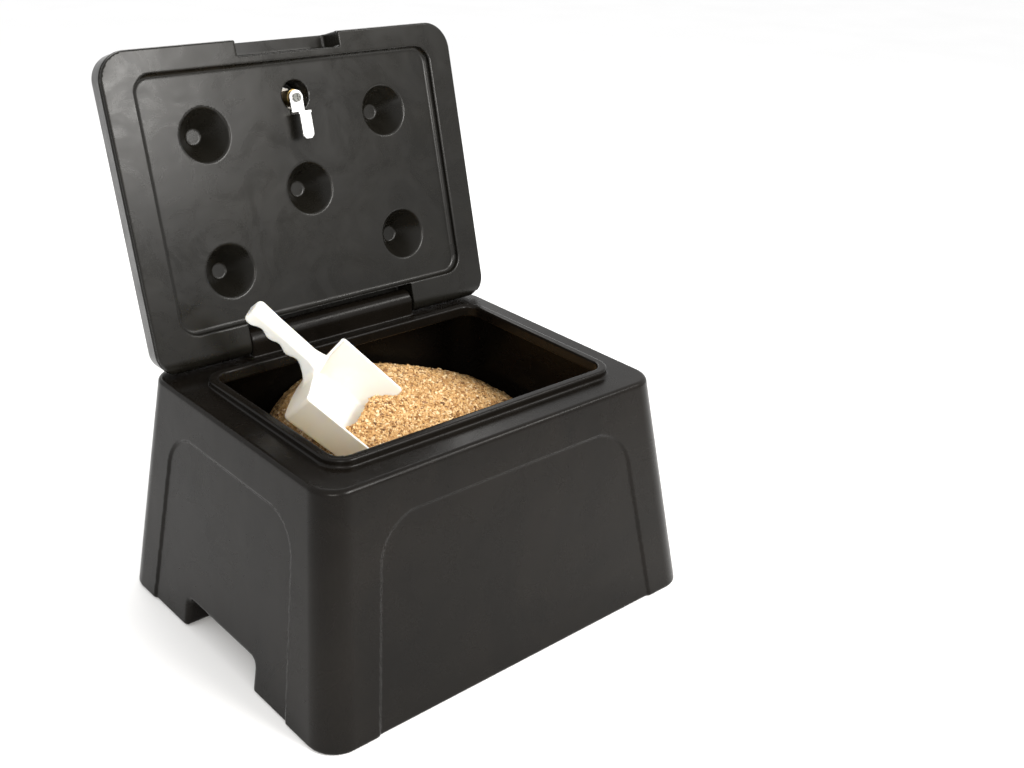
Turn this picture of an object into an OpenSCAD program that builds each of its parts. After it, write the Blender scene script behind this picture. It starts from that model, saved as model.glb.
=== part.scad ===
// Lidded tub for de-icing salt, with a hinged double-skin lid, a cam lock and a hand scoop.
// The frame: origin on the floor under the middle of the tub and its open lid, +X to the right,
// -Y towards the side that opens.

/* [View] */
// Which piece to draw

/* [Tub] */
// Width of the foot of the tub
body_w = 521; // [500:1:540]
// Depth of the foot of the tub
body_d = 418; // [406:1:430]
// Width of the flat deck round the opening
deck_w = 450; // [440:1:456]
// Depth of the flat deck
deck_d = 347; // [340:1:352]
// Height of the deck above the floor
body_h = 263; // [255:1:275]
// Wall thickness of the moulding
wall = 5; // [4:0.5:6]
// Depth of the arched panels in the four walls
panel_depth = 2.2; // [1:0.1:2.5]
// Height of the lifting channel under the tub
channel_h = 35; // [25:1:45]

/* [Opening] */
// Width of the opening
open_w = 363; // [350:1:366]
// Depth of the opening
open_d = 236; // [225:1:238]
// Width of the raised lip round the opening
lip_w = 10.5; // [8:0.5:11]
// Height of the raised lip above the deck
lip_h = 9; // [6:0.5:9]

/* [Lid] */
// Width of the lid
lid_w = 455; // [448:1:460]
// Thickness of the lid
lid_t = 42.5; // [38:0.5:46]
// How far the lid stands open, in degrees from shut
open_angle = 105.5; // [95:0.5:110]
// Depth of the tray recess in the underside
tray_depth = 9.4; // [9.4:0.1:11]
// Skin thickness of the lid
skin = 3.1; // [2.5:0.1:3.5]

/* [Lock] */
// Length of the cam from its turning axis to its tip
cam_len = 47; // [40:1:48]
// Width of the cam
cam_w = 14.4; // [12:0.2:16]
// Radius of the lock barrel
barrel_r = 9.4; // [9:0.1:9.5]

/* [Scoop] */
// Width of the bowl at its rim
bowl_w = 119; // [110:1:120]
// Length of the bowl from back wall to mouth
bowl_l = 92; // [84:1:96]
// Height of the bowl's back wall
bowl_h = 56.5; // [50:0.5:58]
// Length of the grip
grip_l = 100; // [90:1:104]

/* [Hidden] */
$fn = 64;

foot_y = -32.4;
deck_y = 10.5;
corner_r = 31;
edge_r = 4.8;
open_y = foot_y - 0.4;
open_r = 16;
channel_y0 = foot_y - 65;
channel_y1 = foot_y + 72;
channel_r = 8;

hinge_y = foot_y + 163;
hinge_z = body_h + 16.6;
pin_r = 4;
pin_run = 0.06;
pin_half = 150;
knuckle_half = 113.5;
knuckle_r = 14;
knuckle_back = 13.4;
slot_half = 115;

// Lid frame: a across, b along the lid away from the hinge, n from the underside to the outer skin.
hinge_b = -16.8;
hinge_n = 16.4;
lid_front_b = 312.4;
nose_r = 16.2;
lid_r = 35;
tray_w = 388;
tray_b0 = 5;
tray_b1 = 286;
tray_r = 21;
slot_front_b = 3.5;
grip_half = 67.5;
grip_b0 = 295;
grip_n = 34;
cone_r = 30;
cone_floor_r = 9;
cones = [[-119.5, 215.9], [119.5, 215.9], [-119.5, 65.5], [119.5, 65.5], [0, 140]];
inner_top = lid_t - skin;
lock_b = 243.5;
well_r = 19.5;

// Lock stack, measured along n from the underside plane of the lid.
cam_n0 = 5.6;
cam_t = 2.5;
cam_low_n = -8.3;
riser_far = 18.5;
stop_t = 1.3;
stop_n0 = cam_n0 + cam_t;
barrel_n0 = stop_n0 + stop_t + 0.1;
back_t = 1.6;
plug_n0 = barrel_n0 + back_t;
seal_t = 0.8;
flange_n0 = lid_t + seal_t;
flange_t = 2.2;
flange_r = 12.2;
plug_r = 7;
plug_run = 0.05;
tail_r = 4.6;
drive = 6.4;
nut_t = 5;
washer_t = 1;
wafer_count = 6;
wafer_pitch = 3.6;
wafer_n0 = 17;
wafer_x = 6;
wafer_y = 12;
wafer_t = 1;

// Scoop pose: bowl's rear floor edge, nose down, turned and rolled.
scoop_pos = [-95, foot_y + 70, 244];
scoop_rot = [16.6, 36.2, -42];
scoop_travel = 156;
shell = 2.6;
bowl_floor_w = 101;
mouth_h = 49;
grip_w = 22;
grip_t = 15.5;
grip_pitch = 9;
grip_z = 48.25;
// How far the bowl reaches below and behind the scoop's own origin
bowl_sink = 9;
bowl_back = 4;

// Heap of salt: a cone of its natural slope with a rounded top.
heap_x = 0;
heap_y = foot_y + 10;
heap_top = 262;
heap_slope = 0.62;

function outer_w(z) = body_w - (body_w - deck_w) * z / body_h;
function outer_d(z) = body_d - (body_d - deck_d) * z / body_h;
function outer_y(z) = foot_y + deck_y * z / body_h;
function arc(cx, cy, r, a0, a1, steps) =
    [for (i = [0 : steps]) [cx + r * cos(a0 + (a1 - a0) * i / steps),
                            cy + r * sin(a0 + (a1 - a0) * i / steps)]];

module rounded_rect(w, d, r) {
    square([w - 2 * r, d], center = true);
    square([w, d - 2 * r], center = true);
    for (sx = [-1, 1])
        for (sy = [-1, 1])
            translate([sx * (w / 2 - r), sy * (d / 2 - r)])
                circle(r);
}

module ring_slice(z, inset, r) {
    translate([0, outer_y(z), z])
        linear_extrude(0.02)
            rounded_rect(outer_w(z) - 2 * inset, outer_d(z) - 2 * inset, r);
}

module tub_outer() {
    hull() {
        ring_slice(0, edge_r * 0.6, corner_r - 4);
        ring_slice(edge_r, 0, corner_r);
        ring_slice(body_h - edge_r, 0, corner_r);
        ring_slice(body_h - 0.02, edge_r * 0.8, corner_r - 4);
    }
}

module tub_inset() {
    hull() {
        ring_slice(-1, panel_depth, corner_r - panel_depth);
        ring_slice(body_h, panel_depth, corner_r - panel_depth);
    }
}

module tub_cavity() {
    hull() {
        ring_slice(wall, wall, corner_r - wall);
        ring_slice(body_h - wall, wall, corner_r - wall);
    }
}

// Arch outline open at the bottom, with straight leaning sides and round top corners.
module arch_outline(half_bottom, half_top, top, r) {
    polygon(concat([[half_bottom, -1]],
                   arc(half_top - r, top - r, r, 7, 90, 16),
                   arc(-half_top + r, top - r, r, 90, 173, 16),
                   [[-half_bottom, -1]]));
}

module arch_panels() {
    difference() {
        union() {
            translate([0, 300, 0])
                rotate([90, 0, 0])
                    linear_extrude(600)
                        arch_outline(198, 168, 220, 44);
            translate([-300, foot_y + 6, 0])
                rotate([90, 0, 90])
                    linear_extrude(600)
                        arch_outline(139, 119, 217, 42);
        }
        tub_inset();
    }
}

module channel(extra) {
    translate([-300, 0, 0])
        rotate([90, 0, 90])
            linear_extrude(600)
                difference() {
                    translate([channel_y0 - extra, -2])
                        square([channel_y1 - channel_y0 + 2 * extra, channel_h + extra + 2]);
                    for (s = [0, 1])
                        translate([s == 0 ? channel_y0 - extra : channel_y1 + extra, channel_h + extra])
                            mirror([s, 0])
                                difference() {
                                    translate([-0.1, -channel_r])
                                        square([channel_r + 0.1, channel_r + 0.1]);
                                    translate([channel_r, -channel_r])
                                        circle(channel_r);
                                }
                }
}

module lip() {
    translate([0, open_y, body_h - wall])
        linear_extrude(wall + lip_h)
            rounded_rect(open_w + 2 * lip_w, open_d + 2 * lip_w, open_r + lip_w);
}

module knuckle() {
    translate([-knuckle_half, hinge_y, hinge_z])
        rotate([90, 0, 90])
            linear_extrude(2 * knuckle_half)
                intersection() {
                    union() {
                        circle(knuckle_r);
                        translate([-knuckle_r, body_h - wall + 1 - hinge_z])
                            square([2 * knuckle_r, hinge_z - body_h + wall - 1]);
                    }
                    translate([-20, -30])
                        square([20 + knuckle_back, 60]);
                }
}

module bin_body() {
    color("#2a2a2b")
        difference() {
            union() {
                difference() {
                    tub_outer();
                    difference() {
                        tub_cavity();
                        channel(wall);
                    }
                    channel(0);
                    arch_panels();
                }
                lip();
                knuckle();
            }
            translate([0, open_y, body_h - wall - 1])
                linear_extrude(wall + lip_h + 2)
                    rounded_rect(open_w, open_d, open_r);
            translate([-knuckle_half - 1, hinge_y, hinge_z])
                rotate([0, 90, 0])
                    cylinder(r = pin_r, h = 2 * knuckle_half + 2);
        }
}

module hinge_pin() {
    color("#b8babd")
        translate([-pin_half, hinge_y, hinge_z])
            rotate([0, 90, 0])
                cylinder(r = pin_r, h = 2 * pin_half);
}

// Space the scoop passes through as it is pushed down into the salt.
path_back = 12;
path_length = bowl_l + scoop_travel + 12;
path_half = bowl_w / 2 + 2.5;
path_low = 4;
path_high = bowl_h + 8;

module scoop_path() {
    scoop_frame() {
        translate([-path_back, -path_half, -path_low])
            cube([path_length, 2 * path_half, path_high + path_low]);
        translate([-grip_l - 12, -grip_w / 2 - 10, 17])
            cube([grip_l + scoop_travel + 10, grip_w + 20, 62]);
    }
}

// Thin partings along the faces of that space, so that the loose salt is made of plain blocks round it.
module salt_partings() {
    gap = 0.1;
    reach = 700;
    scoop_frame() {
        for (side = [-path_half, path_half])
            translate([-reach, side - gap, -reach])
                cube([2 * reach, 2 * gap, 2 * reach]);
        for (level = [-path_low, path_high])
            translate([-reach, -path_half, level - gap])
                cube([2 * reach, 2 * path_half, 2 * gap]);
        translate([path_length - path_back - gap, -path_half, -path_low])
            cube([2 * gap, 2 * path_half, path_high + path_low]);
    }
}

module heap() {
    translate([heap_x, heap_y, 0])
        rotate_extrude()
            polygon(concat([[0, 0], [330, 0], [330, heap_top - heap_slope * 330 + 6]],
                           [for (i = [0 : 12]) let (q = 60 * (12 - i) / 12)
                               [q, heap_top - heap_slope * (q < 60 ? q * q / 120 + 30 : 60) + 12.4]]));
}

module rock_salt() {
    color("#b98f62")
        difference() {
            intersection() {
                heap();
                difference() {
                    hull() {
                        ring_slice(wall + 0.3, wall + 0.3, corner_r - wall - 0.3);
                        ring_slice(body_h - wall - 0.3, wall + 0.3, corner_r - wall - 0.3);
                    }
                    channel(wall + 0.3);
                }
            }
            scoop_path();
            salt_partings();
        }
}

module lid_frame() {
    translate([0, hinge_y, hinge_z])
        rotate([180 - open_angle, 0, 0])
            translate([0, -hinge_b, hinge_n])
                mirror([0, 0, 1])
                    children();
}

module lid_side_profile() {
    polygon(concat([[hinge_b, 0.2]],
                   arc(hinge_b, hinge_n, nose_r, -90, -215, 28),
                   arc(-17.5, lid_t - 7.5, 7.5, 180, 90, 12),
                   arc(lid_front_b - 12, 33, 9.5, 90, 15, 12),
                   [[lid_front_b, 9], [lid_front_b - 1.5, 1.5], [lid_front_b - 3, 0], [0, 0]]));
}

module lid_front_profile() {
    half = lid_w / 2;
    polygon(concat([[half - 3, 0], [half - 1.5, 1.5], [half, 9]],
                   arc(half - 12, 33, 9.5, 15, 90, 12),
                   arc(-half + 12, 33, 9.5, 90, 165, 12),
                   [[-half, 9], [-half + 1.5, 1.5], [-half + 3, 0]]));
}

module lid_plan(inset, r) {
    d = lid_front_b - hinge_b + nose_r;
    translate([0, lid_front_b - d / 2])
        rounded_rect(lid_w - 2 * inset, d - 2 * inset, r);
}

module lid_blank() {
    intersection() {
        linear_extrude(lid_t)
            lid_plan(0, lid_r);
        translate([-lid_w / 2 - 1, 0, 0])
            rotate([90, 0, 90])
                linear_extrude(lid_w + 2)
                    lid_side_profile();
        translate([0, lid_front_b + 1, 0])
            rotate([90, 0, 0])
                linear_extrude(lid_front_b - hinge_b + nose_r + 2)
                    lid_front_profile();
    }
}

module tray() {
    translate([0, (tray_b0 + tray_b1) / 2, -1])
        linear_extrude(tray_depth + 1)
            rounded_rect(tray_w, tray_b1 - tray_b0, tray_r);
}

module cone_space(grow) {
    for (p = cones)
        translate([p[0], p[1], tray_depth - 1])
            rotate_extrude()
                polygon([[0, 0], [cone_r + grow + 1, 0], [cone_floor_r + grow, lid_t - skin - tray_depth + 1],
                         [0, lid_t - skin - tray_depth + 1]]);
}

module lid_hollow() {
    difference() {
        translate([0, (tray_b0 + 296) / 2 + 1, tray_depth + skin])
            linear_extrude(inner_top - tray_depth - skin)
                rounded_rect(lid_w - 24, 296 - tray_b0 - 2, lid_r - 12);
        cone_space(skin + 0.3);
        translate([0, lock_b, 0])
            cylinder(r = well_r + skin, h = lid_t);
    }
}

module lid() {
    color("#2d2d2e")
        lid_frame()
            difference() {
                lid_blank();
                tray();
                cone_space(0);
                lid_hollow();
                translate([0, lock_b, 0])
                    cylinder(r = well_r, h = inner_top);
                translate([0, lock_b, 0])
                    cylinder(r = barrel_r + 0.1, h = lid_t + 1);
                translate([-grip_half, grip_b0, -1])
                    cube([2 * grip_half, 30, grip_n + 1]);
                translate([-slot_half, hinge_b - nose_r - 3, -1])
                    cube([2 * slot_half, nose_r + 3 + slot_front_b - hinge_b, 32.4]);
                translate([-slot_half, hinge_b - nose_r - 3, 20])
                    cube([2 * slot_half, nose_r + 3, 16.5]);
                translate([-pin_half - 1, hinge_b, hinge_n])
                    rotate([0, 90, 0])
                        cylinder(r = pin_r + pin_run, h = lid_w);
                translate([lid_w / 2 - 6, hinge_b, hinge_n])
                    rotate([0, 90, 0])
                        cylinder(r = 7, h = 10);
            }
}

module pin_cap() {
    color("#1f1f20")
        lid_frame()
            translate([lid_w / 2 - 6, hinge_b, hinge_n])
                rotate([0, 90, 0]) {
                    cylinder(r = 7, h = 4.5);
                    translate([0, 0, -12])
                        cylinder(r = pin_r + pin_run, h = 12.1);
                }
}

module lock_frame() {
    lid_frame()
        translate([0, lock_b, 0])
            children();
}

module lock_housing() {
    color("#c9b27a")
        lock_frame()
            difference() {
                union() {
                    translate([0, 0, barrel_n0])
                        cylinder(r = barrel_r, h = flange_n0 - barrel_n0 + 0.1);
                    translate([0, 0, flange_n0])
                        cylinder(r = flange_r, h = flange_t);
                }
                translate([0, 0, plug_n0])
                    cylinder(r = plug_r + plug_run, h = 60);
                translate([0, 0, barrel_n0 - 1])
                    cylinder(r = tail_r + plug_run, h = 10);
            }
}

module lock_seal() {
    color("#1a1a1a")
        lock_frame()
            translate([0, 0, lid_t])
                difference() {
                    cylinder(r = flange_r - 0.4, h = seal_t);
                    translate([0, 0, -1])
                        cylinder(r = barrel_r, h = seal_t + 2);
                }
}

module nut_washer() {
    color("#b0b2b5")
        lock_frame()
            translate([0, 0, inner_top - washer_t])
                difference() {
                    cylinder(r = 14.5, h = washer_t);
                    translate([0, 0, -1])
                        cylinder(r = barrel_r + 0.1, h = washer_t + 2);
                }
}

module lock_nut() {
    color("#c3c5c8")
        lock_frame()
            translate([0, 0, inner_top - washer_t - nut_t])
                difference() {
                    cylinder(r = 13.8, h = nut_t, $fn = 6);
                    translate([0, 0, -1])
                        cylinder(r = barrel_r + 0.05, h = nut_t + 2);
                }
}

module lock_plug() {
    color("#b99a55")
        lock_frame()
            difference() {
                union() {
                    translate([0, 0, plug_n0])
                        cylinder(r = plug_r, h = flange_n0 + flange_t - 0.3 - plug_n0);
                    translate([0, 0, stop_n0])
                        cylinder(r = tail_r, h = plug_n0 - stop_n0 + 0.1);
                    translate([-drive / 2, -drive / 2, cam_n0])
                        cube([drive, drive, cam_t + 0.1]);
                }
                translate([-0.8, -3.2, 15])
                    cube([1.6, 6.4, 40]);
                for (i = [0 : wafer_count - 1])
                    translate([-wafer_x / 2 - 0.05, -wafer_y / 2 - 0.05, wafer_n0 + i * wafer_pitch - 0.05])
                        cube([wafer_x + 0.1, wafer_y + 0.1, wafer_t + 0.1]);
                for (i = [0 : wafer_count - 1])
                    translate([4.6, -4, wafer_n0 + i * wafer_pitch + wafer_t / 2])
                        rotate([-90, 0, 0])
                            cylinder(r = 0.75, h = 4.1, $fn = 24);
                translate([0, 0, cam_n0 - 1])
                    cylinder(r = 2, h = 8.4);
            }
}

module wafers() {
    color("#d8c27c")
        lock_frame()
            for (i = [0 : wafer_count - 1])
                translate([0, 0, wafer_n0 + i * wafer_pitch])
                    linear_extrude(wafer_t)
                        difference() {
                            square([wafer_x, wafer_y], center = true);
                            square([1.8, 6.6], center = true);
                        }
}

module wafer_springs() {
    color("#9a9ca0")
        lock_frame()
            for (i = [0 : wafer_count - 1])
                translate([4.6, -3.9, wafer_n0 + i * wafer_pitch + wafer_t / 2])
                    rotate([-90, 0, 0])
                        difference() {
                            cylinder(r = 0.7, h = 3.8, $fn = 24);
                            translate([0, 0, -1])
                                cylinder(r = 0.4, h = 6, $fn = 24);
                        }
}

module stop_washer() {
    color("#b0b2b5")
        lock_frame()
            translate([0, 0, stop_n0])
                linear_extrude(stop_t)
                    difference() {
                        union() {
                            circle(7.6);
                            translate([0, -2.5])
                                square([9.2, 5]);
                        }
                        circle(tail_r + 0.05);
                    }
}

module cam() {
    color("#d9dbde")
        lock_frame()
            difference() {
                union() {
                    translate([0, 0, cam_n0])
                        linear_extrude(cam_t)
                            union() {
                                circle(8.6);
                                translate([-8.3, -riser_far])
                                    square([16.6, riser_far]);
                            }
                    translate([-8.3, -riser_far, cam_low_n])
                        cube([16.6, cam_t, cam_n0 - cam_low_n + cam_t]);
                    translate([0, 0, cam_low_n])
                        linear_extrude(cam_t)
                            polygon([[-cam_w / 2, -riser_far + cam_t], [-cam_w / 2, -cam_len + 4],
                                     [-cam_w / 2 + 3.5, -cam_len], [cam_w / 2 - 3.5, -cam_len],
                                     [cam_w / 2, -cam_len + 4], [cam_w / 2, -riser_far + cam_t]]);
                }
                translate([-drive / 2 - 0.05, -drive / 2 - 0.05, cam_n0 - 1])
                    cube([drive + 0.1, drive + 0.1, cam_t + 2]);
            }
}

module cam_washer() {
    color("#a8aaad")
        lock_frame()
            translate([0, 0, cam_n0 - 0.8])
                difference() {
                    cylinder(r = 6, h = 0.8);
                    translate([0, 0, -1])
                        cylinder(r = 2.15, h = 3);
                }
}

module cam_screw() {
    color("#e4e5e7")
        lock_frame()
            difference() {
                union() {
                    translate([0, 0, cam_n0 - 3])
                        cylinder(r = 5.1, h = 2.2);
                    translate([0, 0, cam_n0 - 0.9])
                        cylinder(r = 2, h = 8);
                }
                translate([-3.2, -0.6, cam_n0 - 3.1])
                    cube([6.4, 1.2, 1.4]);
                translate([-0.6, -3.2, cam_n0 - 3.1])
                    cube([1.2, 6.4, 1.4]);
            }
}

module scoop_frame() {
    translate(scoop_pos)
        rotate(scoop_rot)
            translate([0, 0, -bowl_sink])
                children();
}

// Bowl of the scoop: a tray with leaning side walls, open at the mouth.
module bowl_solid(t, lift) {
    hull() {
        translate([t, 0, t])
            linear_extrude(0.02)
                translate([(bowl_l - t) / 2 + lift / 2, 0])
                    square([bowl_l - t + lift, bowl_floor_w - 2 * t], center = true);
        translate([t, 0, bowl_h + lift])
            linear_extrude(0.02)
                translate([8, 0])
                    square([16, bowl_w - 2 * t], center = true);
        translate([t, 0, mouth_h + lift])
            linear_extrude(0.02)
                translate([(bowl_l - t) / 2 + lift / 2, 0])
                    square([bowl_l - t + lift, bowl_w - 4 - 2 * t], center = true);
    }
}

module grip_outline() {
    scallop = 3;
    polygon(concat([[4, 2], [-grip_l, 2], [-grip_l - 6, -3], [-grip_l - 6, -grip_t + 4],
                    [-grip_l, -grip_t]],
                   [for (i = [0 : 32]) let (u = i / 32)
                       [-grip_l + 6 + u * (grip_l - 24), -grip_t + scallop * (1 - cos(u * 1440)) / 2]],
                   [[-10, -grip_t - 6], [4, -grip_t - 12]]));
}

module scoop() {
    color("#f2f1ec")
        scoop_frame() {
            translate([-bowl_back, 0, 0])
                difference() {
                    bowl_solid(0, 0);
                    bowl_solid(shell, 4);
                }
            difference() {
                translate([0, 0, grip_z + grip_t / 2])
                    rotate([0, grip_pitch, 0])
                        translate([0, grip_w / 2, 0])
                            rotate([90, 0, 0])
                                linear_extrude(grip_w)
                                    grip_outline();
                translate([0.5 - bowl_back, -100, -50])
                    cube([100, 200, 200]);
            }
        }
}

bin_body();
hinge_pin();
rock_salt();
lid();
pin_cap();
lock_housing();
lock_seal();
nut_washer();
lock_nut();
lock_plug();
wafers();
wafer_springs();
stop_washer();
cam();
cam_washer();
cam_screw();
scoop();
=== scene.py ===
"""Lidded salt bin with an open lid, a heap of rock salt and a white hand scoop."""
import math

import bpy
import numpy as np
from mathutils import Matrix, Vector


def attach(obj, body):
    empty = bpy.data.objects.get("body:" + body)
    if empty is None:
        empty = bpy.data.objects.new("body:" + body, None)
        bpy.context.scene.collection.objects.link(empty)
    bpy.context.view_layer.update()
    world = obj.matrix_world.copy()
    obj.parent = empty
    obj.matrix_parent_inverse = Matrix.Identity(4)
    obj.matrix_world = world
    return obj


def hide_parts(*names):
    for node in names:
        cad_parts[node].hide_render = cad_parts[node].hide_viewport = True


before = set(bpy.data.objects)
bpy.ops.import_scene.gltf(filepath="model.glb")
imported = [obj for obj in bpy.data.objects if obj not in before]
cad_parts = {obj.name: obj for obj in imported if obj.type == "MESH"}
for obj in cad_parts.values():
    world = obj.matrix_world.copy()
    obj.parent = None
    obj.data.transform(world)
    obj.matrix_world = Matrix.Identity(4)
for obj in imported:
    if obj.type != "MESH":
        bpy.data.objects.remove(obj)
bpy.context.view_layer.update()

MM = 0.001

# ---------------------------------------------------------------- sizes, in millimetres
FOOT_Y = -32.4                      # middle of the tub's foot
BODY_H = 263.0
BODY_W, BODY_D = 521.0, 418.0
DECK_W, DECK_D, DECK_Y = 450.0, 347.0, 10.5      # the deck's middle is DECK_Y behind the foot's
WALL = 5.0
CORNER_R, CORNER_TAPER = 33.5, 2.5               # the upright corners, tighter at the deck
PANEL_DEPTH = 2.3                                # how deep the arches are pressed into the sides
CHANNEL_Y, CHANNEL_HALF, CHANNEL_H = 3.5, 68.5, 35.0
KNUCKLE_R, KNUCKLE_HALF, PIN_R = 14.0, 113.5, 4.0
OPEN_W, OPEN_D, OPEN_Y, OPEN_R = 363.0, 236.0, FOOT_Y - 0.4, 16.0
LIP_W, LIP_H = 10.5, 9.0
HINGE_Y, HINGE_Z = FOOT_Y + 163.0, BODY_H + 16.6
OPEN_ANGLE = math.radians(180.0 - 105.5)
LID_U = np.array([0.0, math.cos(OPEN_ANGLE), math.sin(OPEN_ANGLE)])    # along the lid, away from the hinge
LID_N = np.array([0.0, math.sin(OPEN_ANGLE), -math.cos(OPEN_ANGLE)])   # towards the outer skin
HINGE_B, HINGE_N = -16.8, 16.4
LID_O = np.array([0.0, HINGE_Y, HINGE_Z]) - HINGE_B * LID_U - HINGE_N * LID_N
LID_W, LID_T, LID_FRONT, NOSE_R = 455.0, 42.5, 312.4, 16.2
TRAY_N, INNER_TOP = 9.4, 39.4                    # the tray's floor and the inner side of the outer skin
LOCK_B, WELL_R, BARREL_HOLE_R = 243.5, 17.3, 9.4
CONE_R, CONE_TAPER = 29.9, 20.6
GRIP_HALF, GRIP_B, GRIP_N = 67.5, 294.5, 34.0    # the finger recess
CONES = [(-119.5, 215.9), (119.5, 215.9), (-119.5, 65.5), (119.5, 65.5), (0.0, 140.0)]
SCOOP_O = np.array([-95.0, FOOT_Y + 70.0, 244.0])
SCOOP_ROT = (16.6, 36.2, -42.0)
SCOOP_DEEP = 9.0                    # how far the bowl's floor lies below the scoop's own origin
SCOOP_WALL, RIM_Z, BOWL_FRONT = 2.7, 47.5, 88.0
HANDLE_Z, HANDLE_L, HANDLE_PITCH = 49.0, 104.0, math.radians(9.0)
SCALLOP, SCALLOP_PITCH = 4.2, 25.0
HEAP_X, HEAP_Y, HEAP_TOP = -16.7, FOOT_Y + 80.2, 233.2
HEAP_SLOPE, HEAP_ROUND = 0.475, 80.3             # how steep its flanks are, and how round its top is


def turn(rx, ry, rz):
    """The matrix that turns about X, then Y, then Z, in degrees."""
    a, b, c = np.radians([rx, ry, rz])
    mx = np.array([[1, 0, 0], [0, np.cos(a), -np.sin(a)], [0, np.sin(a), np.cos(a)]])
    my = np.array([[np.cos(b), 0, np.sin(b)], [0, 1, 0], [-np.sin(b), 0, np.cos(b)]])
    mz = np.array([[np.cos(c), -np.sin(c), 0], [np.sin(c), np.cos(c), 0], [0, 0, 1]])
    return mz @ my @ mx


SCOOP_M = turn(*SCOOP_ROT)


# ---------------------------------------------------------------- distance fields
def rect(x, y, hx, hy, r):
    """Distance to a rectangle of half sizes hx, hy with corners of radius r."""
    qx, qy = np.abs(x) - hx + r, np.abs(y) - hy + r
    return np.hypot(np.maximum(qx, 0), np.maximum(qy, 0)) + np.minimum(np.maximum(qx, qy), 0) - r


def meet(a, b, r):
    """What is in both, with the edge between them rounded to radius r."""
    return np.minimum(-r, np.maximum(a, b)) + np.hypot(np.maximum(a + r, 0), np.maximum(b + r, 0))


def join(a, b, r):
    """What is in either, with a fillet of radius r between them."""
    return -meet(-a, -b, r)


def cut(a, b, r):
    """The first less the second, with the rim rounded to radius r."""
    return meet(a, -b, r)


def step(t):
    """A smooth rise from 0 to 1 as t goes from 0 to 1."""
    t = np.clip(t, 0, 1)
    return t * t * (3 - 2 * t)


def field_mesh(field, lo, hi, cell, block=8):
    """The surface field = 0 as quads: surface nets near the surface, then each point moved onto it."""
    lo, hi = np.array(lo, float), np.array(hi, float)
    nb = np.ceil((hi - lo) / (cell * block)).astype(int)
    size = cell * block
    grid = np.stack(np.meshgrid(*[np.arange(n) for n in nb], indexing="ij"), -1).reshape(-1, 3)
    centre = lo + (grid + 0.5) * size
    near = field(centre)
    values = np.repeat(np.repeat(np.repeat(np.sign(near).reshape(nb), block, 0), block, 1), block, 2)
    values = np.pad(values, ((0, 1), (0, 1), (0, 1)), mode="edge").astype(np.float32) * 1e3
    active = grid[np.abs(near) < size * 1.05]
    offs = np.stack(np.meshgrid(*[np.arange(block + 1)] * 3, indexing="ij"), -1).reshape(-1, 3)
    for i in range(0, len(active), 600):
        idx = (active[i:i + 600, None, :] * block + offs[None]).reshape(-1, 3)
        values[idx[:, 0], idx[:, 1], idx[:, 2]] = field(lo + idx * cell)
    neg = values < 0
    n = np.array(neg.shape) - 1
    total = np.zeros(n, np.int8)
    for a in (0, 1):
        for b in (0, 1):
            for c in (0, 1):
                total += neg[a:n[0] + a, b:n[1] + b, c:n[2] + c]
    cells = np.argwhere((total > 0) & (total < 8))
    number = np.full(n, -1, np.int64)
    number[cells[:, 0], cells[:, 1], cells[:, 2]] = np.arange(len(cells))
    acc, cnt = np.zeros((len(cells), 3)), np.zeros(len(cells))
    for axis in range(3):
        o1, o2 = [k for k in range(3) if k != axis]
        for a in (0, 1):
            for b in (0, 1):
                s = np.zeros(3, int)
                s[o1], s[o2] = a, b
                e = s.copy()
                e[axis] = 1
                p, q = cells + s, cells + e
                vp = values[p[:, 0], p[:, 1], p[:, 2]]
                vq = values[q[:, 0], q[:, 1], q[:, 2]]
                hit = (vp < 0) != (vq < 0)
                t = np.where(hit, vp / np.where(hit, vp - vq, 1), 0)
                pos = p.astype(float)
                pos[:, axis] += t
                acc[hit] += pos[hit]
                cnt[hit] += 1
    verts = lo + acc / cnt[:, None] * cell
    faces = []
    for axis in range(3):
        o1, o2 = [(1, 2), (2, 0), (0, 1)][axis]
        sl0, sl1 = [slice(None)] * 3, [slice(None)] * 3
        sl0[axis], sl1[axis] = slice(0, -1), slice(1, None)
        change = neg[tuple(sl0)] != neg[tuple(sl1)]
        e = np.argwhere(change)
        keep = (e[:, o1] > 0) & (e[:, o2] > 0) & (e[:, o1] < n[o1]) & (e[:, o2] < n[o2])
        e = e[keep]
        inside = neg[e[:, 0], e[:, 1], e[:, 2]]
        quad = []
        for d1, d2 in ((-1, -1), (0, -1), (0, 0), (-1, 0)):
            k = e.copy()
            k[:, o1] += d1
            k[:, o2] += d2
            quad.append(number[k[:, 0], k[:, 1], k[:, 2]])
        quad = np.stack(quad, -1)
        quad[~inside] = quad[~inside][:, ::-1]
        faces.append(quad)
    faces = np.concatenate(faces)
    for _ in range(3):
        f, g = gradient(field, verts)
        move = f[:, None] * g / np.maximum((g * g).sum(1), 0.05)[:, None]
        length = np.linalg.norm(move, axis=1)
        verts -= move * np.minimum(1, 0.6 * cell / np.maximum(length, 1e-9))[:, None]
    return verts, faces


def gradient(field, verts, eps=0.04):
    """The field and its slope at each point."""
    f = field(verts)
    g = np.stack([(field(verts + eps * np.eye(3)[k]) - field(verts - eps * np.eye(3)[k])) / (2 * eps)
                  for k in range(3)], -1)
    return f, g


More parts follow.
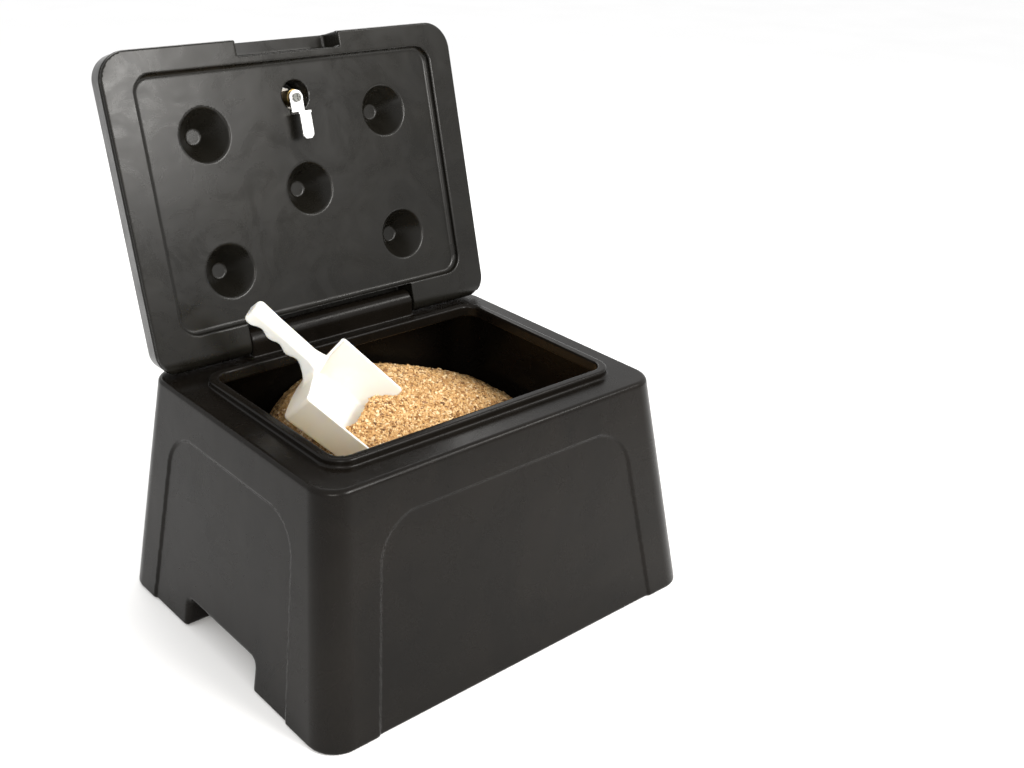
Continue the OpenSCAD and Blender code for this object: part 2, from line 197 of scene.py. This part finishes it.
def make_object(name, verts, faces, smooth=True, normals=None):
    """A mesh object from arrays, in metres."""
    mesh = bpy.data.meshes.new(name)
    faces = np.asarray(faces)
    k = faces.shape[1]
    mesh.vertices.add(len(verts))
    mesh.vertices.foreach_set("co", np.asarray(verts, np.float32).ravel())
    mesh.loops.add(faces.size)
    mesh.loops.foreach_set("vertex_index", faces.ravel().astype(np.int32))
    mesh.polygons.add(len(faces))
    mesh.polygons.foreach_set("loop_start", np.arange(0, faces.size, k, dtype=np.int32))
    mesh.polygons.foreach_set("use_smooth", np.full(len(faces), smooth))
    mesh.update(calc_edges=True)
    mesh.validate()
    if normals is not None:
        mesh.normals_split_custom_set_from_vertices(normals)
    obj = bpy.data.objects.new(name, mesh)
    bpy.context.scene.collection.objects.link(obj)
    return obj


def field_object(name, field, lo, hi, cell, to_world=None, flip=False):
    """Meshes a field and puts it in the world through to_world, with its normals from the field."""
    verts, faces = field_mesh(field, lo, hi, cell)
    _, g = gradient(field, verts)
    g /= np.maximum(np.linalg.norm(g, axis=1), 1e-9)[:, None]
    if to_world is not None:
        m, o = to_world
        verts, g = verts @ m.T + o, g @ m.T
    if flip:
        faces = faces[:, ::-1]
    return make_object(name, verts * MM, faces, True, g)


def arch(u, z, half0, half1, top, r, lean):
    """Distance to an arch outline with leaning sides and round top corners, open at the bottom."""
    return meet((np.abs(u) - half0 + (half0 - half1) * z / top) * lean, z - top, r)


def tub_side(x, y, z, inset, r):
    """Distance to the tub's leaning sides, moved in by inset, with upright corners of radius r."""
    k = z / BODY_H
    hx = (BODY_W - (BODY_W - DECK_W) * k) / 2 - inset
    hy = (BODY_D - (BODY_D - DECK_D) * k) / 2 - inset
    return rect(x, y - DECK_Y * k, hx, hy, r) * 0.989


def bin_field(p):
    """The tub: sides with pressed arches, channel, lip, knuckle, hollow inside."""
    x, y, z = p[:, 0], p[:, 1] - FOOT_Y, p[:, 2]
    side = tub_side(x, y, z, 0, CORNER_R - CORNER_TAPER * z / BODY_H)
    front = arch(x, z, 196.5, 166, 220.5, 44, 0.99)
    flank = arch(y - 6.2, z, 138.5, 119, 217, 40, 0.996)
    side = side + PANEL_DEPTH * (step(0.5 - front / 4.5) + step(0.5 - flank / 4.5))
    body = meet(side, z - BODY_H, 4.8)
    body = meet(body, -z, 3.2)
    channel = meet(np.abs(y - CHANNEL_Y) - CHANNEL_HALF, z - CHANNEL_H, 8)
    body = cut(body, channel, 7)
    oy = OPEN_Y - FOOT_Y
    lip = rect(x, y - oy, OPEN_W / 2 + LIP_W, OPEN_D / 2 + LIP_W, OPEN_R + LIP_W)
    lip = np.maximum(meet(lip, z - BODY_H - LIP_H, 2.6), BODY_H - 4 - z)
    body = join(body, lip, 2.6)
    hy, hz = y - (HINGE_Y - FOOT_Y), z - HINGE_Z
    bar = np.where(hz > 0, np.hypot(hy, hz), np.abs(hy)) - KNUCKLE_R
    bar = meet(meet(bar, np.abs(x) - KNUCKLE_HALF, 2.0), hy - 13.4, 2.0)
    bar = np.maximum(bar, BODY_H - 4 - z)
    body = join(body, bar, 2.5)
    cavity = meet(tub_side(x, y, z, WALL, 28), z - BODY_H + WALL, 8)
    cavity = meet(cavity, WALL - z, 12)
    block = meet(np.abs(y - CHANNEL_Y) - CHANNEL_HALF - WALL, z - CHANNEL_H - WALL, 8)
    cavity = cut(cavity, block, 10)
    body = np.maximum(body, -cavity)
    opening = rect(x, y - oy, OPEN_W / 2, OPEN_D / 2, OPEN_R)
    opening = np.maximum(opening, BODY_H - 12 - z)
    body = cut(body, opening, 2.2)
    return cut(body, np.hypot(hy, hz) - PIN_R, 0.4)


def lid_field(p):
    """The lid, in its own axes: a across, b away from the hinge, n from the inner rim to the outer skin."""
    a, b, n = p[:, 0], p[:, 1], p[:, 2]
    rear = HINGE_B - NOSE_R
    front = LID_FRONT + 4.5 * np.clip((n - 9) / 34, 0, 1)
    mid, half = (front + rear) / 2, (front - rear) / 2
    draft = 5.5 * np.clip((n - 9) / 34, 0, 1)
    bead = 0.9 * np.exp(-((n - 5.2) / 1.1) ** 2) - 0.5 * np.exp(-((n - 7.8) / 1.2) ** 2)
    body = rect(a, b - mid, LID_W / 2, half, 27 + 6 * step(b / 200)) + draft + bead
    nose = meet(rear - b, -n, NOSE_R)
    back = (b + 30.07) * -0.878 + (n - 25.7) * 0.479
    body = meet(body, n - LID_T, 10)
    body = meet(np.maximum(body, nose), back, 6)
    body = meet(body, -n, 3.6)
    tray = meet(rect(a, b - 145.5, 194, 140.5, 21) - 0.1 * (n - TRAY_N / 2), n - TRAY_N, 6.0)
    body = cut(body, tray, 2.4)
    for ca, cb in CONES:
        q = np.hypot(a - ca, b - cb)
        narrowing = CONE_TAPER * (n - TRAY_N) / (INNER_TOP - TRAY_N)
        cone = meet((q - CONE_R + narrowing) * 0.82, n - INNER_TOP, 1.2)
        body = cut(body, cone, 1.5)
    well = np.hypot(a - 1.6, b - LOCK_B - 2.4) - WELL_R
    body = cut(body, meet(well, n - INNER_TOP, 1), 1.0)
    body = np.maximum(body, BARREL_HOLE_R - np.hypot(a, b - LOCK_B))
    grip = meet(meet(np.abs(a) - GRIP_HALF, GRIP_B - b, 2.5), n - GRIP_N, 4)
    body = cut(body, grip, 1.6)
    slot = meet(np.abs(a) - 115, b - 3.5, 1.5)
    slot = meet(slot, n - 32 - 4.5 * step((HINGE_B - b) / 4), 3)
    body = cut(body, slot, 1.8)
    bore = np.maximum(np.hypot(b - HINGE_B, n - HINGE_N) - 4.4, -a - 152)
    body = cut(body, bore, 0.5)
    socket = np.maximum(np.hypot(b - HINGE_B, n - HINGE_N) - 7.2, LID_W / 2 - 6.3 - a)
    return cut(body, socket, 0.8)


def scoop_field(p):
    """The scoop, in its own axes: x along the bowl to its mouth, z up out of it."""
    x, y, z = p[:, 0], p[:, 1] - 1.0, p[:, 2]
    bulge = 5.0 * (1 - np.clip(np.abs(y) / 50, 0, 1) ** 2)
    bx, by = x + 4.0 - 0.045 * y, y + 0.045 * x

    def bowl(i):
        half = 49.5 + 10 * np.clip(z, -12, 60) / RIM_Z - i
        back = -(bx + bulge - i) * 0.97 - 0.04 * (RIM_Z - z)
        wall = meet(np.abs(by) - half, back, 5.5 - i)
        return meet(wall * 0.985, i - SCOOP_DEEP - z, 6 - i * 0.6)

    shell = np.maximum(bowl(0), -bowl(SCOOP_WALL))
    dip = 4.0 * (1 - step((np.abs(y) - 14) / 34)) * (1 - step((x - 2) / 14))
    rim = z - (RIM_Z - 0.085 * np.maximum(x, 0)) + dip
    corner = meet(rim, x - BOWL_FRONT - 0.10 * (z - 20), 4.0)
    shell = meet(shell, corner, 1.1)
    c, s = math.cos(HANDLE_PITCH), math.sin(HANDLE_PITCH)
    u = -(x * c) + (z - HANDLE_Z) * s                # along the grip, away from the bowl
    w = x * s + (z - HANDLE_Z) * c                   # up out of the grip's top face
    ends = step((u - 14) / 10) * step((100 - u) / 8)
    wave = SCALLOP * (0.5 - 0.5 * np.cos((u - 20) * 2 * math.pi / SCALLOP_PITCH)) * ends
    root = 1 - step(u / 26)
    low = 19.0 - wave + 13 * root + 1.5 * step((u - 84) / 12)
    width = 11.0 + 6.5 * root + 1.0 * step((u - 70) / 30)
    grip = rect(y, w + low / 2, width, low / 2, 4.4)
    grip = meet(grip, u - HANDLE_L, 6.0)
    grip = np.maximum(grip, -u - 2 - bulge)
    hollow = np.maximum(rect(y, w + 40 + 2.8, width - 2.6, 40, 2.6), u - HANDLE_L + 3.5)
    hollow = np.maximum(hollow, 10 - u)
    grip = cut(grip, hollow, 0.8)
    shell = join(shell, grip, 6.5)
    return np.maximum(shell, -np.maximum(bowl(SCOOP_WALL), -x - 60))


# ---------------------------------------------------------------- materials
def material(name):
    """A new material, its node tree and its shader."""
    mat = bpy.data.materials.new(name)
    mat.use_nodes = True
    nt = mat.node_tree
    return mat, nt, nt.nodes["Principled BSDF"]


def node(nt, kind, **inputs):
    """A new node with its inputs set by name."""
    n = nt.nodes.new(kind)
    for key, value in inputs.items():
        n.inputs[key.replace("_", " ")].default_value = value
    return n


def noise(nt, scale, detail=4.0, rough=0.55):
    """Noise over the object's own coordinates."""
    coord = nt.nodes.new("ShaderNodeTexCoord")
    n = node(nt, "ShaderNodeTexNoise", Scale=scale, Detail=detail, Roughness=rough)
    nt.links.new(coord.outputs["Object"], n.inputs["Vector"])
    return n


def ramp(nt, fac, stops):
    """A colour ramp with a stop for each (position, colour)."""
    r = nt.nodes.new("ShaderNodeValToRGB")
    r.color_ramp.elements[0].position, r.color_ramp.elements[0].color = stops[0][0], stops[0][1]
    r.color_ramp.elements[1].position, r.color_ramp.elements[1].color = stops[-1][0], stops[-1][1]
    for pos, col in stops[1:-1]:
        e = r.color_ramp.elements.new(pos)
        e.color = col
    nt.links.new(fac, r.inputs["Fac"])
    return r


def grey(v):
    return (v, v, v, 1.0)


def bump_chain(nt, bsdf, layers):
    """Stacks bump layers: (height socket, strength, distance in metres)."""
    last = None
    for sock, strength, dist in layers:
        b = node(nt, "ShaderNodeBump", Strength=strength, Distance=dist)
        nt.links.new(sock, b.inputs["Height"])
        if last is not None:
            nt.links.new(last, b.inputs["Normal"])
        last = b.outputs["Normal"]
    nt.links.new(last, bsdf.inputs["Normal"])


def black_plastic(name, base, rough_lo, rough_hi, shine=0.15, mottle=0.35):
    """Black polyethylene: a satin skin with faint mottling, fine grain and a few scuffs."""
    mat, nt, bsdf = material(name)
    big = noise(nt, 7.0, 6.0, 0.62)
    big.inputs["Distortion"].default_value = 1.2
    col = ramp(nt, big.outputs["Fac"], [
        (0.30, (base[0] * (1 - mottle), base[1] * (1 - mottle), base[2] * (1 - mottle), 1)),
        (0.72, (base[0] * (1 + mottle), base[1] * (1 + mottle), base[2] * (1 + mottle), 1))])
    nt.links.new(col.outputs["Color"], bsdf.inputs["Base Color"])
    mid = noise(nt, 16.0, 9.0, 0.68)
    mid.inputs["Distortion"].default_value = 1.6
    r = ramp(nt, mid.outputs["Fac"], [(0.30, grey(rough_lo)), (0.72, grey(rough_hi))])
    nt.links.new(r.outputs["Color"], bsdf.inputs["Roughness"])
    fine = noise(nt, 900.0, 3.0, 0.5)
    wavy = noise(nt, 22.0, 2.0, 0.4)
    bump_chain(nt, bsdf, [(wavy.outputs["Fac"], 0.35, 0.0012), (fine.outputs["Fac"], 0.10, 0.0002)])
    bsdf.inputs["Specular IOR Level"].default_value = shine
    return mat


def white_plastic():
    """White polypropylene, a little translucent."""
    mat, nt, bsdf = material("scoop_white")
    big = noise(nt, 14.0, 3.0, 0.5)
    col = ramp(nt, big.outputs["Fac"], [(0.3, (0.83, 0.79, 0.71, 1)), (0.7, (0.88, 0.845, 0.77, 1))])
    nt.links.new(col.outputs["Color"], bsdf.inputs["Base Color"])
    mid = noise(nt, 60.0, 4.0, 0.5)
    r = ramp(nt, mid.outputs["Fac"], [(0.3, grey(0.30)), (0.7, grey(0.42))])
    nt.links.new(r.outputs["Color"], bsdf.inputs["Roughness"])
    fine = noise(nt, 700.0, 2.0, 0.5)
    bump_chain(nt, bsdf, [(fine.outputs["Fac"], 0.12, 0.0002)])
    bsdf.inputs["Subsurface Weight"].default_value = 0.6
    bsdf.inputs["Subsurface Radius"].default_value = (1.0, 0.80, 0.55)
    bsdf.inputs["Subsurface Scale"].default_value = 0.010
    return mat


def salt_material(name, island):
    """Brown rock salt: each grain has its own tint, from pale amber to dark brown."""
    mat, nt, bsdf = material(name)
    if island:
        geo = nt.nodes.new("ShaderNodeNewGeometry")
        fac = geo.outputs["Random Per Island"]
    else:
        coord = nt.nodes.new("ShaderNodeTexCoord")
        vor = node(nt, "ShaderNodeTexVoronoi", Scale=420.0)
        nt.links.new(coord.outputs["Object"], vor.inputs["Vector"])
        sep = nt.nodes.new("ShaderNodeSeparateColor")
        nt.links.new(vor.outputs["Color"], sep.inputs["Color"])
        fac = sep.outputs["Red"]
    col = ramp(nt, fac, [
        (0.00, (0.12, 0.050, 0.015, 1)), (0.08, (0.25, 0.115, 0.036, 1)), (0.25, (0.47, 0.26, 0.092, 1)),
        (0.60, (0.63, 0.385, 0.155, 1)), (0.86, (0.74, 0.51, 0.25, 1)), (1.00, (0.86, 0.69, 0.44, 1))])
    nt.links.new(col.outputs["Color"], bsdf.inputs["Base Color"])
    mid = noise(nt, 500.0, 3.0, 0.5)
    r = ramp(nt, mid.outputs["Fac"], [(0.3, grey(0.45)), (0.7, grey(0.75))])
    nt.links.new(r.outputs["Color"], bsdf.inputs["Roughness"])
    fine = noise(nt, 1400.0, 3.0, 0.6)
    bump_chain(nt, bsdf, [(fine.outputs["Fac"], 0.5, 0.0006)])
    return mat


def metal(name, color, rough_lo, rough_hi, scale=90.0):
    """Plated or bare metal with uneven tone and roughness."""
    mat, nt, bsdf = material(name)
    big = noise(nt, scale, 4.0, 0.6)
    dark = tuple(c * 0.80 for c in color)
    col = ramp(nt, big.outputs["Fac"], [(0.25, (*dark, 1)), (0.7, (*color, 1))])
    nt.links.new(col.outputs["Color"], bsdf.inputs["Base Color"])
    mid = noise(nt, scale * 4, 5.0, 0.6)
    r = ramp(nt, mid.outputs["Fac"], [(0.3, grey(rough_lo)), (0.75, grey(rough_hi))])
    nt.links.new(r.outputs["Color"], bsdf.inputs["Roughness"])
    bump_chain(nt, bsdf, [(mid.outputs["Fac"], 0.15, 0.0001)])
    bsdf.inputs["Metallic"].default_value = 1.0
    return mat


# The tub and the lid are one black plastic. The lid's copy has a lighter base and more shine: painted light
# for the brighter light that falls on the lid.
TUB_BLACK = black_plastic("tub_black", (0.0048, 0.0038, 0.0028), 0.20, 0.32, 0.13)
LID_BLACK_LIT_COPY = black_plastic("lid_black_lit_copy", (0.0062, 0.0055, 0.0040), 0.21, 0.38, 0.25)
CAP_BLACK = black_plastic("cap_black", (0.012, 0.012, 0.012), 0.4, 0.55)
SEAL_BLACK = black_plastic("seal_rubber", (0.010, 0.010, 0.010), 0.6, 0.75)
SCOOP_WHITE = white_plastic()
GRAINS = salt_material("salt_grains", True)
BED = salt_material("salt_bed", False)
BRASS = metal("lock_brass", (0.40, 0.29, 0.12), 0.30, 0.45, 40.0)
PLUG = metal("plug_brass", (0.66, 0.52, 0.28), 0.2, 0.4)
ZINC = metal("zinc_plate", (0.66, 0.66, 0.65), 0.22, 0.40)
CHROME = metal("nut_chrome", (0.36, 0.34, 0.31), 0.24, 0.38)
SCREW = metal("screw_steel", (0.14, 0.14, 0.13), 0.25, 0.42)
STEEL = metal("pin_steel", (0.60, 0.60, 0.61), 0.25, 0.4)


def paint(obj, mat):
    """Gives the object one material in place of what it had."""
    obj.data.materials.clear()
    obj.data.materials.append(mat)


# ---------------------------------------------------------------- tub
tub = field_object("tub_shell", bin_field, (-264, FOOT_Y - 213, -3), (264, FOOT_Y + 213, 297), 2.1)
paint(tub, TUB_BLACK)
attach(tub, "bin")
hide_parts("bin_body")

# ---------------------------------------------------------------- lid
lid_to_world = (np.stack([np.array([1.0, 0, 0]), LID_U, LID_N], -1), LID_O)
lid = field_object("lid_moulding", lid_field, (-231, -36, -3), (231, 321, 46), 1.7, lid_to_world, True)
# The lid takes the lighter, shinier copy of the tub's plastic, painted light for the brighter light on the
# lid.
paint(lid, LID_BLACK_LIT_COPY)
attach(lid, "lid")
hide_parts("lid")

# ---------------------------------------------------------------- scoop
scoop = field_object("hand_scoop", scoop_field, (-116, -66, -12), (96, 68, 76), 1.15, (SCOOP_M, SCOOP_O))
paint(scoop, SCOOP_WHITE)
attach(scoop, "scoop")
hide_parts("scoop")


# ---------------------------------------------------------------- salt
def wobble(x, y, seed):
    """A smooth sum of waves, about -1 to 1, the same on every run."""
    rng = np.random.default_rng(seed)
    out = np.zeros_like(x)
    for scale, amp in ((90, 0.55), (45, 0.3), (22, 0.18), (11, 0.10)):
        for _ in range(3):
            ang, ph = rng.uniform(0, 2 * math.pi, 2)
            out += amp / 1.7 * np.sin((x * math.cos(ang) + y * math.sin(ang)) * 2 * math.pi / scale + ph)
    return out


def heap_height(x, y):
    """The salt's surface: a heap that falls away all round, hollowed where the scoop lies."""
    dx, dy = x - HEAP_X, y - HEAP_Y
    along, across = 0.791 * dx + 0.612 * dy, 1.124 * (-0.612 * dx + 0.791 * dy)
    fall = np.sqrt(along ** 2 + across ** 2 + HEAP_ROUND ** 2) - HEAP_ROUND
    steeper = 1 + 2.0 * np.clip(-dx / 106, 0, 1.5) ** 2      # the heap drops faster on the left
    z = HEAP_TOP - HEAP_SLOPE * fall * steeper + 1.5 * wobble(x, y, 5)
    local = (np.stack([x, y, z], -1) - SCOOP_O) @ SCOOP_M
    slope_x, slope_y = SCOOP_M[:2, 2] / SCOOP_M[2, 2]
    below = 6 + SCOOP_DEEP * 1.25
    under = SCOOP_O[2] - below - (x - SCOOP_O[0]) * slope_x - (y - SCOOP_O[1]) * slope_y
    reach = 51 + 8 * step((local[:, 1] + 20) / 16) + 26 * step((local[:, 1] - 34) / 20)
    side = step((66 - np.abs(local[:, 1])) / 8)
    back = step((reach + 6 - local[:, 0]) / 12)
    z = z + (np.minimum(z, under) - z) * side * back
    left = step((-local[:, 1] - 46) / 10) * step((local[:, 0] + 16) / 16) * step((125 - local[:, 0]) / 30)
    z = z + (np.minimum(z, under - 4) - z) * left * step((local[:, 1] + 110) / 30)
    return np.maximum(z, 60)


def heap_mesh():
    """The salt's surface as a closed slab."""
    slab = 14
    nx, ny = 231, 181
    xs, ys = np.linspace(-222, 222, nx), np.linspace(FOOT_Y - 168, FOOT_Y + 172, ny)
    gx, gy = np.meshgrid(xs, ys, indexing="ij")
    z = heap_height(gx.ravel(), gy.ravel())
    rng = np.random.default_rng(11)
    top = np.stack([gx.ravel(), gy.ravel(), z + rng.normal(0, 0.55, z.size)], -1)
    low = top - [0, 0, slab]
    verts = np.concatenate([top, low])
    i, j = np.meshgrid(np.arange(nx - 1), np.arange(ny - 1), indexing="ij")
    a = (i * ny + j).ravel()
    quads = np.stack([a, a + ny, a + ny + 1, a + 1], -1)
    m = nx * ny
    under = quads[:, ::-1] + m
    rim = []
    ring = ([(k, 0) for k in range(nx)] + [(nx - 1, k) for k in range(1, ny)]
            + [(k, ny - 1) for k in range(nx - 2, -1, -1)] + [(0, k) for k in range(ny - 2, 0, -1)])
    ids = [col * ny + row for col, row in ring]
    for k in range(len(ids)):
        p, q = ids[k], ids[(k + 1) % len(ids)]
        rim.append((q, p, p + m, q + m))
    return verts, np.concatenate([quads, under, np.array(rim)])


verts, faces = heap_mesh()
bed = make_object("salt_bed", verts * MM, faces)
paint(bed, BED)
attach(bed, "bin")
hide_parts("rock_salt")


def grain_shapes(rng, count=14):
    """A few irregular chips: a cube's corners and face middles pushed about."""
    base = np.array([[sx, sy, sz] for sx in (-1, 1) for sy in (-1, 1) for sz in (-1, 1)], float)
    quads = np.array([[0, 1, 3, 2], [4, 6, 7, 5], [0, 4, 5, 1], [2, 3, 7, 6], [0, 2, 6, 4], [1, 5, 7, 3]])
    shapes = [base * rng.uniform(0.55, 1.0, 3) * (1 + rng.normal(0, 0.16, (8, 1)))
              + rng.normal(0, 0.13, (8, 3)) for _ in range(count)]
    return shapes, quads


def scatter_grains(count):
    """Loose grains of many sizes on the salt's surface."""
    rng = np.random.default_rng(23)
    shapes, quads = grain_shapes(rng)
    x = rng.uniform(-205, 205, count)
    y = rng.uniform(FOOT_Y - 150, FOOT_Y + 150, count)
    z = heap_height(x, y)
    size = np.clip(rng.lognormal(-0.12, 0.36, count), 0.45, 2.4)
    verts, faces = [], []
    for i in range(count):
        ang = rng.uniform(0, 360, 3)
        m = turn(*ang)
        shape = shapes[i % len(shapes)] * size[i]
        verts.append(shape @ m.T + [x[i], y[i], z[i] + 0.25 * size[i] + rng.normal(0, 0.25)])
        faces.append(quads + 8 * i)
    return np.concatenate(verts), np.concatenate(faces)


verts, faces = scatter_grains(52000)
grains = make_object("salt_grains", verts * MM, faces, False)
paint(grains, GRAINS)
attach(grains, "bin")

# ---------------------------------------------------------------- carried-over CAD parts
for names, mat in ((("lock_housing",), BRASS), (("lock_plug", "wafers"), PLUG),
                   (("lock_nut",), CHROME), (("hinge_pin", "wafer_springs"), STEEL),
                   (("cam", "cam_washer", "stop_washer", "nut_washer"), ZINC), (("cam_screw",), SCREW),
                   (("pin_cap",), CAP_BLACK), (("lock_seal",), SEAL_BLACK)):
    for name in names:
        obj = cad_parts[name]
        paint(obj, mat)

# ---------------------------------------------------------------- floor, light and camera
FLOOR = 30.0                        # half the floor's side, in metres
floor_mesh = bpy.data.meshes.new("floor")
corners = [(sx * FLOOR, sy * FLOOR, 0) for sx, sy in ((-1, -1), (1, -1), (1, 1), (-1, 1))]
floor_mesh.from_pydata(corners, [], [(0, 1, 2, 3)])
floor = bpy.data.objects.new("floor", floor_mesh)
bpy.context.scene.collection.objects.link(floor)
floor_mat, floor_nodes, floor_shader = material("floor_white")
floor_noise = noise(floor_nodes, 3.0, 2.0)
floor_tone = ramp(floor_nodes, floor_noise.outputs["Fac"], [(0.3, grey(0.93)), (0.7, grey(0.95))])
floor_nodes.links.new(floor_tone.outputs["Color"], floor_shader.inputs["Base Color"])
floor_shader.inputs["Roughness"].default_value = 0.9
floor.data.materials.append(floor_mat)
floor.location.z = -0.0005


def area(name, loc, target, size, power, color):
    """A soft rectangular light at loc, turned to target."""
    light = bpy.data.lights.new(name, "AREA")
    light.shape = "RECTANGLE"
    light.size, light.size_y = size
    light.energy = power
    light.color = color
    obj = bpy.data.objects.new(name, light)
    bpy.context.scene.collection.objects.link(obj)
    obj.location = loc
    obj.rotation_euler = (Vector(target) - Vector(loc)).to_track_quat("-Z", "Y").to_euler()
    return obj


area("key", (0.33, -1.30, 1.16), (-0.12, 0.16, 0.5), (0.55, 0.55), 24, (1.0, 0.98, 0.95))
area("edge", (1.25, -1.05, 1.65), (-0.05, -0.15, 0.27), (0.5, 0.4), 11, (1.0, 0.98, 0.94))
area("back", (0.55, 1.75, 1.45), (0, 0, 0.26), (1.8, 0.9), 18, (1.0, 0.985, 0.96))
area("fill", (-1.05, -1.2, 1.0), (0, 0, 0.25), (0.6, 0.5), 10, (1.0, 0.96, 0.90))

world = bpy.data.worlds.new("studio")
bpy.context.scene.world = world
world.use_nodes = True
bg = world.node_tree.nodes["Background"]
bg.inputs["Color"].default_value = (1, 1, 1, 1)
bg.inputs["Strength"].default_value = 1.04
bpy.context.scene.view_settings.view_transform = "Standard"

cam_data = bpy.data.cameras.new("camera")
cam_data.sensor_width = 36.0
cam_data.lens = 43.40
cam_data.clip_end = 100
cam = bpy.data.objects.new("camera", cam_data)
bpy.context.scene.collection.objects.link(cam)
RIGHT, UP, FORWARD = (0.7479, -0.6625, 0.0416), (0.2516, 0.3411, 0.9057), (0.6142, 0.6670, -0.4218)
cam.matrix_world = Matrix([
    (RIGHT[0], UP[0], -FORWARD[0], -0.7644),
    (RIGHT[1], UP[1], -FORWARD[1], -0.9938 + FOOT_Y * MM),
    (RIGHT[2], UP[2], -FORWARD[2], 0.8419),
    (0, 0, 0, 1)])
bpy.context.scene.camera = cam
